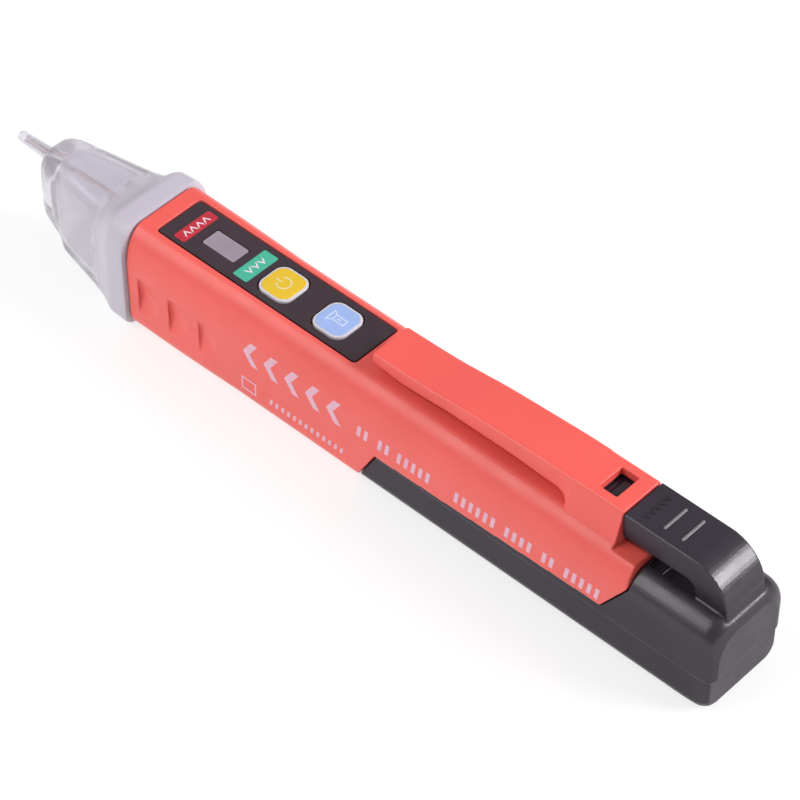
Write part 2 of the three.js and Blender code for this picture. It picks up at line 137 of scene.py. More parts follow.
def side_profile(outline):
    """A side view pushed through the whole width of the pen."""
    return prism(outline, "y", *SIDES)


def box(x, y, z):
    return prism([(x[0], y[0]), (x[1], y[0]), (x[1], y[1]), (x[0], y[1])], "z", *z)


def rod(x0, x1, z, start_radius, end_radius=None, sides=48):
    """A round rod along X, lying in the pen's middle plane."""
    rings = []
    for x, radius in ((x0, start_radius), (x1, end_radius or start_radius)):
        turns = [2 * math.pi * i / sides for i in range(sides)]
        rings.append([(x, radius * math.cos(t), z + radius * math.sin(t)) for t in turns])
    return loft(rings)


def post(x, z0, z1, radius, sides=32):
    turns = [2 * math.pi * i / sides for i in range(sides)]
    return prism([(x + radius * math.cos(t), radius * math.sin(t)) for t in turns], "z", z0, z1)


def bake(obj):
    """Replaces obj's mesh by what its modifiers make of it."""
    graph = bpy.context.evaluated_depsgraph_get()
    made = bpy.data.meshes.new_from_object(obj.evaluated_get(graph))
    obj.modifiers.clear()
    old, obj.data = obj.data, made
    bpy.data.meshes.remove(old)
    return obj


def combine(base, operation, *tools):
    for tool in tools:
        step = base.modifiers.new(operation, "BOOLEAN")
        step.operation = operation
        step.solver = "EXACT"
        step.object = tool
    bake(base)
    for tool in tools:
        bpy.data.objects.remove(tool)
    return base


def mould(obj, voxel, passes, faces):
    """Rounds every edge as a moulding has it: an even skin, smoothed, then thinned to that many faces."""
    skin = obj.modifiers.new("skin", "REMESH")
    skin.mode = "VOXEL"
    skin.voxel_size = voxel * COARSE
    ease = obj.modifiers.new("ease", "SMOOTH")
    ease.factor = 0.5
    ease.iterations = passes
    bake(obj)
    triangles = 2 * len(obj.data.polygons)
    if triangles > faces:
        thin = obj.modifiers.new("thin", "DECIMATE")
        thin.ratio = faces / triangles
        bake(obj)
    return obj


def bevel(obj, width, segments=3, angle=30):
    step = obj.modifiers.new("bevel", "BEVEL")
    step.width = width
    step.segments = segments
    step.limit_method = "ANGLE"
    step.angle_limit = math.radians(angle)
    return obj


def place(obj, name, body, look, smooth=True):
    """Names obj, brings it to the frame's metres, and lets it ride."""
    bake(obj)
    for vertex in obj.data.vertices:
        vertex.co = ((vertex.co.x - MIDDLE) * MM, vertex.co.y * MM, vertex.co.z * MM)
    for polygon in obj.data.polygons:
        polygon.use_smooth = smooth
    obj.name = name
    obj.data.name = name
    obj.data.materials.clear()
    obj.data.materials.append(look)
    if body:
        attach(obj, body)
    return obj


# ---------------------------------------------------------------- shapes

def section(half_width, bottom, top, top_corner, bottom_corner, bend=2.0, low_bend=2.0):
    """A closed ring [y, z], flat above and below, with rounded corners of size [across, up]."""
    corners = [
        (1, -1, bottom_corner, bottom, -90, low_bend),
        (1, 1, top_corner, top, 0, bend),
        (-1, 1, top_corner, top, 90, bend),
        (-1, -1, bottom_corner, bottom, 180, low_bend),
    ]
    ring = []
    for y, z, corner, edge, start, power in corners:
        for step in range(CORNER_STEPS + 1):
            angle = math.radians(start + 90 * step / CORNER_STEPS)
            across = abs(math.cos(angle)) ** (2 / power) * corner[0]
            up = abs(math.sin(angle)) ** (2 / power) * corner[1]
            ring.append((y * (half_width - corner[0] + across), edge - z * (corner[1] - up)))
    return ring


def stationed(x, ring):
    return [(x, y, z) for y, z in ring]


def eased(keys, spacing):
    """Rows between the key rows [x, value, ...], on monotone curves, so that nothing overshoots a key."""
    xs = [k[0] for k in keys]
    columns = []
    for column in range(1, len(keys[0])):
        values = [k[column] for k in keys]
        slopes = [(values[i + 1] - values[i]) / (xs[i + 1] - xs[i]) for i in range(len(xs) - 1)]
        tangents = [slopes[0]]
        for before, after in zip(slopes, slopes[1:]):
            tangents.append(0.0 if before * after <= 0 else 2 * before * after / (before + after))
        tangents.append(slopes[-1])
        columns.append((values, tangents))
    rows = []
    for i in range(len(xs) - 1):
        span = xs[i + 1] - xs[i]
        steps = max(1, round(span / spacing))
        for step in range(steps):
            t = step / steps
            row = [xs[i] + t * span]
            for values, tangents in columns:
                start, end = values[i], values[i + 1]
                row.append(
                    start * (2 * t**3 - 3 * t**2 + 1)
                    + end * (3 * t**2 - 2 * t**3)
                    + span * tangents[i] * (t**3 - 2 * t**2 + t)
                    + span * tangents[i + 1] * (t**3 - t**2)
                )
            rows.append(row)
    rows.append(list(keys[-1]))
    return rows


def eased_back(keys, spacing):
    """Like eased(), for keys that run towards the tip."""
    turned = [(-x, *shape) for x, *shape in keys]
    return [(-x, *shape) for x, *shape in eased(turned, spacing)]


def body_section(inset=0.0, width=BODY_HALF_WIDTH, top=BODY_TOP, corner=2.8):
    top_corner = (4.0 - inset * 0.9, 7.5 - inset * 0.9)
    bottom_corner = (corner - inset * 0.7, corner - inset * 0.7)
    return section(width - inset, inset, top - inset, top_corner, bottom_corner)


def body_loft(x0, x1, inset):
    return loft([stationed(x, body_section(inset)) for x in (x0, x1)])


def parting_outline(shift):
    """The side view of what belongs to the drawer and not to the housing."""
    return [
        (86.6 - shift, -2),
        (92.3 - shift, 8.2 + shift),
        (138.7 - shift, 9.6 + shift),
        (BODY_END - shift, 16.4 + shift),
        (BODY_END - shift, 40),
        (170, 40),
        (170, -2),
    ]


def round_plate(cx, cy, length, width, radius, steps=8):
    """A round-cornered rectangle outline, seen from above."""
    outline = []
    for sx, sy, start in ((1, 1, 0), (-1, 1, 90), (-1, -1, 180), (1, -1, 270)):
        for step in range(steps + 1):
            angle = math.radians(start + 90 * step / steps)
            outline.append((
                cx + sx * (length / 2 - radius) + radius * math.cos(angle),
                cy + sy * (width / 2 - radius) + radius * math.sin(angle),
            ))
    return outline


def scallop(x, side):
    """Half an ellipsoid with its flat face forward: its bite out of the side runs out to the rear."""
    length, depth, height, middle = 5.2, 1.3, 4.3, 9.0
    face = side * 9.75
    rings = []
    turns = [2 * math.pi * i / 32 for i in range(32)]
    for step in range(9):
        t = min(step / 8, 0.995)
        size = math.sqrt(1 - t * t)
        ring = [(face + depth * size * math.cos(a), middle + height * size * math.sin(a)) for a in turns]
        rings.append(stationed(x + t * length, ring))
    return loft(rings)


def housing_body():
    """The housing with the spigot that the nose's collar fits over, hollowed to its wall."""
    # Stations: x, half width, top, bottom corner.
    keys = [(BODY_START, 9.2, 21.3, 3.2), (46, 9.15, 21.25, 3.0), (62, BODY_HALF_WIDTH, BODY_TOP, 2.8)]
    rings = [stationed(x, body_section(0, *shape)) for x, *shape in eased(keys, 2.0)]
    rings.append(stationed(BODY_END, body_section()))
    shell = loft(rings)
    combine(shell, "UNION", body_loft(31.6, BODY_START + 1, 2.2))
    rear = section(BODY_HALF_WIDTH - WALL, WALL, 18.2, (2.6, 4.6), (2.2, 2.2))
    rear_hollow = loft([stationed(x, rear) for x in (120, BODY_END + 2)])
    front_hollow = body_loft(BODY_START + 1.5, 122, WALL)
    combine(shell, "DIFFERENCE", body_loft(30, BODY_START + 2, 3.4), front_hollow, rear_hollow)
    return combine(shell, "UNION", *[post(x, 15.8, 20, 2.2) for x in BOARD_SCREWS])


def panel_openings():
    """Cutting tools for the panel's recess, the display and the buttons."""
    middle = (PANEL[0] + PANEL[1]) / 2
    length = PANEL[1] - PANEL[0] + 2 * GAP
    recess = prism(round_plate(middle, 0, length, 2 * (PANEL_HALF_WIDTH + GAP), 0.8), "z", 20.3, 24)
    display = box((DISPLAY_X - 4.1, DISPLAY_X + 4.1), (-2.5, 2.5), (18, 24))
    around = BUTTON_SIZE + 2 * GAP
    keys = [prism(round_plate(x, 0, around, around, 2.3), "z", 18, 24) for x in BUTTONS.values()]
    return [recess, display, *keys]


def housing_shell():
    shell = housing_body()
    tunnel_width = (-TUNNEL_HALF_WIDTH, TUNNEL_HALF_WIDTH)
    combine(
        shell,
        "DIFFERENCE",
        side_profile(parting_outline(PARTING_GAP)),
        box((SEAM_X, BODY_END + 5), SIDES, (20.3, 40)),
        box((TUNNEL_START, BODY_END + 5), tunnel_width, (20.1, TUNNEL_TOP)),
        *panel_openings(),
        *[scallop(x, side) for x in SCALLOPS for side in (-1, 1)],
    )
    return mould(shell, 0.16, 3, 190_000)


def flare(top, spread=1.0):
    """Half-ring of the clip's root: straight slanted sides that run out into the housing's crown."""
    wall = [(7.3, 18.0), (6.75, 19.5), (6.25, 20.2), (6.05, 20.6), (5.5, 22.2), (4.9, 24.2)]
    half = [(CLIP_HALF_WIDTH + (y - CLIP_HALF_WIDTH) * spread, z) for y, z in wall]
    half += [(CLIP_HALF_WIDTH, top - 0.6), (4.25, top - 0.2), (3.9, top)]
    return half + [(-y, z) for y, z in reversed(half)]


def clip_arm():
    """The pocket clip: a slim arm on a flared root, with the window that the latch's hook shows in."""
    stages = [(125.9, 26.62, 0.0), (127.2, 26.66, 0.35), (128.6, 26.68, 1.0), (SEAM_X, 26.75, 1.0)]
    root = loft([stationed(x, flare(top, spread)) for x, top, spread in stages])
    fillet = [(125.8, 22.85), (127.2, 22.75), (127.8, 22.4), (128.1, 21.9), (128.2, 21.2), (128.2, 17)]
    combine(root, "INTERSECT", side_profile(fillet + [(SEAM_X, 17), (SEAM_X, 30), (125.8, 30)]))
    # Stations: x, half width, underside, top.
    keys = [
        (CLIP_START, 3.95, 22.95, 24.5),
        (87.6, 4.05, 22.85, 24.7),
        (91.0, 4.08, 22.4, 24.75),
        (93.7, 4.1, 22.2, 24.8),
        (99, 4.15, 22.5, 25.0),
        (103.5, 4.2, 22.9, 25.42),
        (107.5, 4.25, 23.0, 25.8),
        (116, 4.3, 23.1, 26.3),
        (127, CLIP_HALF_WIDTH, 22.8, 26.68),
        (129, CLIP_HALF_WIDTH, 22.8, 26.7),
    ]
    rows = eased(keys, 1.0)
    arm = loft([stationed(x, section(w, low, top, (0.6, 0.4), (0.3, 0.2))) for x, w, low, top in rows])
    combine(arm, "UNION", root)
    tunnel = box((TUNNEL_START, SEAM_X + 5), (-TUNNEL_HALF_WIDTH, TUNNEL_HALF_WIDTH), (16, TUNNEL_TOP))
    window = box((132.3, 135.7), (-2.6, 2.6), (24, 30))
    combine(arm, "DIFFERENCE", tunnel, window)
    return mould(arm, 0.12, 3, 150_000)


def drawer_ring(x, width, bottom, top):
    """The drawer's outside: below the belt line it stands back a little."""
    low = section(width - BELT_STEP, bottom, top, (4.3, 5.0), (2.2, 2.4))
    high = section(width, bottom, top, (4.3, 5.0), (2.4, 2.4))
    steps = CORNER_STEPS + 1
    ring = low[:steps] + [(width - BELT_STEP, BELT_Z - 0.2), (width, BELT_Z)] + high[steps:3 * steps]
    ring += [(-width, BELT_Z), (BELT_STEP - width, BELT_Z - 0.2)] + low[3 * steps:]
    return stationed(x, ring)


def drawer_outside():
    # Stations: x, half width, bottom, top.
    keys = [
        (154.5, 8.65, 0, CAP_TOP),
        (157.3, 8.6, 0.2, 19.1),
        (158.8, 8.4, 0.9, 18.6),
        (159.6, 7.9, 2.0, 17.8),
        (REAR, 7.0, 3.4, 16.6),
    ]
    rows = [(80, 8.7, 0, CAP_TOP)] + eased(keys, 0.3)
    outside = loft([drawer_ring(*row) for row in rows])
    step = [(159.4, -1), (159.4, BELT_Z - 0.4), (160.1, BELT_Z + 0.3), (170, BELT_Z + 0.3), (170, -1)]
    return combine(outside, "DIFFERENCE", side_profile(step))


def drawer_shoulder():
    return [(138.7, 9.6), (BODY_END, 16.4), (BODY_END, 40), (170, 40), (170, 9.6)]


def latch_outline():
    """The latch from the side: a flat arm, a wide bend, and a leg that runs out down the drawer's end."""
    front, radius = SEAM_X - 1, 7.0
    under_arm = [(front, 21.8), (151.0, 21.8), (151.8, 21.5), (152.3, 20.9), (152.9, 19.4), (153.0, 17.6)]
    root = [(157.3, 17.0), (157.5, 13.5), (159.7, 13.5)]
    leg_back = [(159.75, 14.5), (159.5, 16.8), (159.1, 18.2), (158.75, 19.5)]
    outline = under_arm + root + leg_back
    for step in range(17):
        angle = math.radians(90 * step / 16)
        outline.append((151.7 + radius * math.cos(angle), ARM_TOP - radius + radius * math.sin(angle)))
    outline.append((front, ARM_TOP))
    return outline


def latch_solid():
    """The bent arm, with the tongue and hook that reach under the clip."""
    latch = bevel(prism(latch_outline(), "y", -CLIP_HALF_WIDTH, CLIP_HALF_WIDTH), 0.5, 4, 40)
    bake(latch)
    combine(latch, "DIFFERENCE", box((130, SEAM_X + SEAM_GAP), SIDES, (15, 30)))
    tongue = box((131, 142), (-3.0, 3.0), (21.9, 24.7))
    hook = prism([(133.4, 24), (135.3, 24), (135.3, 24.6), (134.9, 25.0), (133.4, 25.0)], "y", -2.2, 2.2)
    return combine(latch, "UNION", tongue, hook)


def drawer_shell():
    """The drawer and its latch in one skin: belt, end cap, and the tray that holds the cells."""
    drawer = drawer_outside()
    combine(drawer, "INTERSECT", side_profile(parting_outline(0)))
    tray_ring = section(6.9, 1.9, 12.6, (0.4, 0.4), (2.2, 2.2))
    combine(drawer, "UNION", loft([stationed(x, tray_ring) for x in (62.2, BODY_END + 1)]))
    above = box((80, BODY_END), SIDES, (12.6, 30))
    combine(above, "DIFFERENCE", prism(drawer_shoulder(), "y", -13, 13))
    trough_start = CELL_START - 0.6
    combine(
        drawer,
        "DIFFERENCE",
        rod(trough_start, 156.6, CELL_Z, TROUGH_RADIUS),
        box((trough_start, 143), (-TROUGH_RADIUS, TROUGH_RADIUS), (CELL_Z, 30)),
        above,
        box((143.9, 152.4), (-4.3, 4.3), (14.4, 22)),
        rod(61, 65, CELL_Z, 2.6),
    )
    combine(drawer, "UNION", latch_solid())
    return mould(drawer, 0.16, 3, 190_000)


def round_ring(x, radius):
    """A circle round the probe's axis, with the points in the same order as section()."""
    ring = []
    for start in (-90, 0, 90, 180):
        turns = [math.radians(start + 90 * i / CORNER_STEPS) for i in range(CORNER_STEPS + 1)]
        ring += [(radius * math.cos(t), PROBE_Z + radius * math.sin(t)) for t in turns]
    return stationed(x, ring)


def nose_ring(x, half_width, bottom, top, across, up, low, inset=0.0):
    top_corner = (across - inset * 0.8, up - inset * 0.8)
    bottom_corner = (low - inset * 0.8, low - inset * 0.5)
    return stationed(x, section(half_width - inset, bottom + inset, top - inset, top_corner, bottom_corner))


def nose_shell():
    """One skin: from the probe's tip over the beak and collar, round its rear edge, and back inside."""
    # Stations: x, half width, bottom, top, then the top corners' width and height, and the low corners.
    outside = [
        (NOSE_START, 1.9, 8.6, 16.4, 1.4, 2.8, 1.1),
        (NOSE_START + 0.6, 3.0, 6.6, 17.5, 1.9, 3.4, 1.5),
        (NOSE_START + 1.7, 4.2, 5.6, 18.7, 2.7, 4.2, 2.0),
        (12.9, 5.1, 5.2, 19.3, 3.4, 4.8, 2.2),
        (15.2, 5.7, 4.5, 19.5, 3.9, 5.3, 2.3),
        (17.0, 6.1, 3.8, 19.55, 4.2, 5.6, 2.4),
        (18.0, 6.4, 1.8, 19.6, 4.2, 6.2, 2.4),
        (23.0, 7.3, 1.2, 19.6, 4.2, 6.5, 2.4),
        (29.6, 8.6, 0.5, 19.8, 4.2, 6.8, 2.4),
        (31.0, 9.1, 0.25, 20.2, 4.0, 6.6, 2.3),
        (32.0, 9.5, 0.1, 21.0, 3.7, 6.2, 2.2),
        (33.0, 9.8, 0.0, 21.4, 3.6, 6.0, 2.2),
        (FLANGE_END - 0.4, 9.9, 0.0, 21.5, 3.6, 6.0, 2.2),
        (FLANGE_END - 0.1, 9.82, 0.08, 21.42, 3.6, 6.0, 2.2),
        (FLANGE_END, 9.6, 0.25, 21.2, 3.5, 5.8, 2.1),
    ]
    hollow = [
        (30.6, 8.3, 1.2, 19.75, 4.2, 6.8, 2.4),
        (18.2, 6.5, 2.6, 19.5, 4.2, 6.1, 2.4),
        (14.4, 5.0, 5.4, 18.9, 3.6, 4.9, 2.3),
        (14.0, 4.0, 6.4, 17.9, 3.0, 4.2, 2.0),
    ]
    rings = []
    for step in range(1, 13):
        angle = math.radians(90 * step / 12)
        rings.append(round_ring(TIP + 1.0 - math.cos(angle), math.sin(angle)))
    rings += [round_ring(x, 1.0 + 0.038 * (x - TIP - 1.0)) for x in (5.0, 7.0, 9.0, NOSE_START - 0.15)]
    rings.append(round_ring(NOSE_START, 1.45))
    rings += [nose_ring(*row) for row in eased(outside, 0.35)]
    rings += [stationed(x, body_section(1.7)) for x in (FLANGE_END, 35.0, 33.0, 31.2)]
    rings += [nose_ring(*row, NOSE_WALL) for row in eased_back(hollow, 1.5)]
    rings += [round_ring(x, 0.5) for x in (14.0, 9.0, 5.0, TIP + 1.8)]
    nose = loft(rings)
    nose.data.set_sharp_from_angle(angle=math.radians(38))
    return nose


# ---------------------------------------------------------------- small marks and buttons

def stamp(outlines, point_at, low, high):
    """One mesh of thin plates: each outline (u, v), between two depths of point_at(u, v, depth)."""
    points, faces = [], []
    for outline in outlines:
        start, count = len(points), len(outline)
        for depth in (low, high):
            points += [point_at(u, v, depth) for u, v in outline]
        faces.append([start + i for i in range(count)])
        faces.append([start + count + i for i in range(count)])
        for i in range(count):
            a, b = start + i, start + (i + 1) % count
            faces.append([a, b, b + count, a + count])
    return mesh_object("stamp", points, faces)


def from_above(u, v, depth):
    return (u, v, depth)


def on_near_side(u, v, depth):
    """Station u and height v on the housing's near side, which is flat up to its crown."""
    rise = max(0.0, v - SIDE_FLAT_TOP) / 7.5
    return (u, -(4.8 + 4.0 * math.sqrt(1 - rise * rise)) - depth, v)


def chevron(cx, cy, width, height, stroke, facing):
    """A chevron that points along x."""
    back, front = cx - facing * height / 2, cx + facing * height / 2
    return [
        (back, cy - width / 2),
        (back + facing * stroke, cy - width / 2),
        (front, cy),
        (back + facing * stroke, cy + width / 2),
        (back, cy + width / 2),
        (front - facing * stroke, cy),
    ]


def slanted(x, z, width, height, lean):
    return [(x, z), (x + width, z), (x + width + lean, z + height), (x + lean, z + height)]


def arc_band(cx, radius, stroke, start, end, steps=28):
    turns = [math.radians(start + (end - start) * i / steps) for i in range(steps + 1)]
    outer = [(cx + (radius + stroke / 2) * math.cos(t), (radius + stroke / 2) * math.sin(t)) for t in turns]
    inner = [(cx + (radius - stroke / 2) * math.cos(t), (radius - stroke / 2) * math.sin(t)) for t in turns]
    return outer + inner[::-1]


def closed_band(path, stroke):
    """A line of even width round a closed path, mitred at its corners."""
    sides = []
    for before, here, after in zip(path[-1:] + path[:-1], path, path[1:] + path[:1]):
        into = (Vector(here) - Vector(before)).normalized()
        out = (Vector(after) - Vector(here)).normalized()
        normal = Vector((-into.y - out.y, into.x + out.x)).normalized()
        reach = stroke / 2 / normal.dot(Vector((-into.y, into.x)))
        sides.append((Vector(here) + normal * reach, Vector(here) - normal * reach))
    sides.append(sides[0])
    return [tuple(a) for a, _ in sides] + [tuple(b) for _, b in reversed(sides)]


def domed_plate(outline, cx, low, high, rise, rim):
    """A plate with a rounded rim and a slightly crowned top."""
    rings = [[(x, y, low) for x, y in outline]]
    levels = [(1.0, high - rim)]
    for step in range(1, 5):
        angle = math.radians(90 * step / 4)
        levels.append((1 - rim / 3.2 * (1 - math.cos(angle)), high - rim + rim * math.sin(angle)))
    edge = levels[-1][0]
    for share in (0.8, 0.6, 0.4, 0.2, 0.04):
        levels.append((edge * share, high + rise * (1 - share * share)))
    for scale, z in levels:
        rings.append([(cx + (x - cx) * scale, y * scale, z) for x, y in outline])
    return loft(rings)


def power_icon(x):
    bar = [(x - 1.75, -0.15), (x - 0.35, -0.15), (x - 0.35, 0.15), (x - 1.75, 0.15)]
    return [arc_band(x, 1.25, 0.3, -140, 140), bar]


def torch_icon(x):
    outline = [(-1.6, -1.2), (-0.7, -0.6), (1.6, -0.6), (1.6, 0.6), (-0.7, 0.6), (-1.6, 1.2)]
    bars = [round_plate(x - 0.7, 0, 0.22, 0.9, 0.05, 2), round_plate(x + 0.3, 0, 0.8, 0.3, 0.1, 3)]
    return [closed_band([(x + u, v) for u, v in outline], 0.24)] + bars


# ---------------------------------------------------------------- materials

class Look:
    """A procedural material: one Principled shader, and helpers that add nodes in object coordinates."""

    def __init__(self, name):
        self.material = bpy.data.materials.new(name)
        self.material.use_nodes = True
        self.tree = self.material.node_tree
        self.tree.nodes.clear()
        self.shader = self.node("ShaderNodeBsdfPrincipled")
        self.output = self.node("ShaderNodeOutputMaterial")
        self.link(self.shader.outputs["BSDF"], self.output.inputs["Surface"])
        self.place = self.node("ShaderNodeTexCoord").outputs["Object"]

    def node(self, kind, **values):
        made = self.tree.nodes.new(kind)
        for name, value in values.items():
            setattr(made, name, value)
        return made

    def link(self, source, target):
        self.tree.links.new(source, target)

    def feed(self, source, socket):
        """Links source to one of the shader's own sockets."""
        self.link(source, self.shader.inputs[socket])

    def set(self, **values):
        for name, value in values.items():
            self.shader.inputs[name.replace("_", " ")].default_value = value
        return self

    def stretched(self, scale):
        mapping = self.node("ShaderNodeMapping")
        mapping.inputs["Scale"].default_value = scale
        self.link(self.place, mapping.inputs["Vector"])
        return mapping.outputs["Vector"]

    def noise(self, scale, detail=3.0, roughness=0.5, vector=None):
        noise = self.node("ShaderNodeTexNoise")
        noise.inputs["Scale"].default_value = scale
        noise.inputs["Detail"].default_value = detail
        noise.inputs["Roughness"].default_value = roughness
        self.link(vector or self.place, noise.inputs["Vector"])
        return noise.outputs["Fac"]

    def ranged(self, source, low, high, start=0.3, end=0.7):
        ranged = self.node("ShaderNodeMapRange")
        for name, value in (("From Min", start), ("From Max", end), ("To Min", low), ("To Max", high)):
            ranged.inputs[name].default_value = value
        self.link(source, ranged.inputs["Value"])
        return ranged.outputs["Result"]

    def math(self, operation, first, second):
        made = self.node("ShaderNodeMath", operation=operation)
        for socket, value in zip(made.inputs, (first, second)):
            if isinstance(value, (int, float)):
                socket.default_value = value
            else:
                self.link(value, socket)
        return made.outputs["Value"]

    def mixed(self, factor, first, second):
        mix = self.node("ShaderNodeMix", data_type="RGBA")
        self.link(factor, mix.inputs["Factor"])
        colours = [s for s in mix.inputs if s.type == "RGBA"]
        for socket, value in zip(colours, (first, second)):
            if isinstance(value, (tuple, list)):
                socket.default_value = (*value[:3], 1.0)
            else:
                self.link(value, socket)
        return [s for s in mix.outputs if s.type == "RGBA"][0]

    def bump(self, height, strength, distance, after=None):
        bump = self.node("ShaderNodeBump")
        bump.inputs["Strength"].default_value = strength
        bump.inputs["Distance"].default_value = distance
        self.link(height, bump.inputs["Height"])
        if after:
            self.link(after, bump.inputs["Normal"])
        return bump.outputs["Normal"]


def shade(colour, factor):
    return tuple(min(1.0, c * factor) for c in colour)


def moulded(
    name, colour, roughness, grain, grain_depth,
    grain_strength=0.35, variation=0.05, scratches=0.06,
):
    """Moulded plastic: cloudy tone, fine tooled grain, and faint handling scratches in its gloss."""
    look = Look(name)
    cloud = look.ranged(look.noise(70, 4), 0, 1)
    speck = look.ranged(look.noise(grain * 0.6, 2), 0, 1)
    tone = look.mixed(cloud, shade(colour, 1 - variation), shade(colour, 1 + variation))
    tone = look.mixed(look.math("MULTIPLY", speck, 0.25), tone, shade(colour, 1 + 2 * variation))
    look.feed(tone, "Base Color")
    patches = look.ranged(look.noise(260, 3), roughness - 0.05, roughness + 0.06)
    lines = look.ranged(look.noise(9, 2, 0.6, look.stretched((30, 900, 260))), 0, scratches, 0.62, 0.72)
    look.feed(look.math("ADD", patches, lines), "Roughness")
    rough = look.bump(look.noise(grain, 3, 0.6), grain_strength, grain_depth * MM)
    wave = look.bump(look.noise(180, 2), 0.12, 0.05 * MM, rough)
    look.feed(wave, "Normal")
    return look


def red_plastic():
    look = moulded("red_plastic", (0.75, 0.100, 0.082), 0.37, 5200, 0.02)
    look.set(Specular_IOR_Level=0.45, Subsurface_Weight=0.06, Subsurface_Scale=0.0008)
    return look.material


def dark_plastic():
    look = moulded("dark_plastic", (0.023, 0.016, 0.0245), 0.3, 3300, 0.035, 0.5, 0.14)
    facing = look.node("ShaderNodeLayerWeight").outputs["Facing"]
    look.feed(look.ranged(facing, 0.6, 0.2, 0.2, 0.48), "Specular IOR Level")
    return look.material


def clear_plastic():
    """Clear in the beak, and frosted towards the collar, which hides the seal behind it."""
    look = Look("clear_plastic")
    tone = look.mixed(look.ranged(look.noise(90, 3), 0, 1), (0.76, 0.73, 0.79), (0.83, 0.80, 0.86))
    split = look.node("ShaderNodeSeparateXYZ")
    look.link(look.place, split.inputs["Vector"])
    cloud = look.math("MULTIPLY", look.noise(160, 2), 2 * MM)
    station = look.math("ADD", split.outputs["X"], cloud)
    frost = look.ranged(station, 0, 1, (27.5 - MIDDLE) * MM, (31.5 - MIDDLE) * MM)
    look.feed(look.mixed(frost, tone, (0.60, 0.56, 0.63)), "Base Color")
    look.feed(look.ranged(frost, 0.76, 0.22, 0, 1), "Transmission Weight")
    patches = look.ranged(look.noise(300, 3), 0, 0.08)
    look.feed(look.math("ADD", look.ranged(frost, 0.12, 0.36, 0, 1), patches), "Roughness")
    wave = look.bump(look.noise(220, 2), 0.2, 0.08 * MM)
    look.feed(wave, "Normal")
    look.set(IOR=1.45)
    return look.material


def film():
    look = Look("panel_film")
    tone = look.mixed(look.ranged(look.noise(120, 3), 0, 1), (0.028, 0.016, 0.022), (0.037, 0.022, 0.029))
    look.feed(tone, "Base Color")
    look.feed(look.ranged(look.noise(420, 4), 0.2, 0.34), "Roughness")
    look.feed(look.bump(look.noise(2600, 2), 0.15, 0.01 * MM), "Normal")
    look.set(Coat_Weight=0.15, Coat_Roughness=0.2)
    return look.material


def display_plastic():
    look = Look("window_plastic")
    tone = look.mixed(look.ranged(look.noise(160, 2), 0, 1), (0.27, 0.22, 0.26), (0.31, 0.25, 0.30))
    look.feed(tone, "Base Color")
    look.feed(look.ranged(look.noise(350, 3), 0.12, 0.22), "Roughness")
    look.feed(look.bump(look.noise(500, 2), 0.1, 0.01 * MM), "Normal")
    return look.material


def print_ink(name, colour, roughness=0.45):
    look = Look(name)
    tone = look.mixed(look.ranged(look.noise(900, 4), 0, 1), shade(colour, 0.93), shade(colour, 1.04))
    look.feed(tone, "Base Color")
    look.feed(look.ranged(look.noise(700, 3), roughness - 0.06, roughness + 0.08), "Roughness")
    look.feed(look.bump(look.noise(4200, 2), 0.2, 0.01 * MM), "Normal")
    return look.material


def keycap(name, colour):
    look = moulded(name, colour, 0.4, 4200, 0.012, 0.25, 0.03, 0.04)
    look.set(Subsurface_Weight=0.08, Subsurface_Scale=0.0006)
    return look.material


def metal(name, colour, roughness, scale=(8, 400, 400)):
    """Plated metal, brushed lightly along the pen."""
    look = Look(name)
    brush = look.noise(40, 3, 0.6, look.stretched(scale))
    tone = look.mixed(look.ranged(brush, 0, 1), shade(colour, 0.88), shade(colour, 1.06))
    look.feed(tone, "Base Color")
    look.feed(look.ranged(look.noise(600, 3), roughness - 0.06, roughness + 0.1), "Roughness")
    look.feed(look.bump(brush, 0.15, 0.01 * MM), "Normal")
    look.set(Metallic=1.0)
    return look.material


def lens(name, colour):
    look = Look(name)
    tone = look.mixed(look.ranged(look.noise(400, 2), 0, 1), shade(colour, 0.9), shade(colour, 1.05))
    look.feed(tone, "Base Color")
    look.feed(look.ranged(look.noise(500, 2), 0.08, 0.2), "Roughness")
    look.feed(look.bump(look.noise(900, 2), 0.1, 0.02 * MM), "Normal")
    look.set(Transmission_Weight=0.5)
    return look.material


def board():
    """Solder mask with a faint weave and darker tracks."""
    look = Look("circuit_board")
    weave = look.ranged(look.noise(1400, 2), 0, 1)
    wave = look.node("ShaderNodeTexWave", wave_type="BANDS", bands_direction="Y")
    wave.inputs["Scale"].default_value = 420
    wave.inputs["Distortion"].default_value = 3.0
    look.link(look.place, wave.inputs["Vector"])
    tracks = look.ranged(wave.outputs["Fac"], 0, 1, 0.55, 0.6)
    tone = look.mixed(weave, (0.018, 0.11, 0.05), (0.03, 0.15, 0.07))
    tone = look.mixed(tracks, tone, (0.05, 0.2, 0.09))
    look.feed(tone, "Base Color")
    look.feed(look.ranged(look.noise(800, 3), 0.3, 0.45), "Roughness")
    look.feed(look.bump(tracks, 0.3, 0.03 * MM), "Normal")
    return look.material


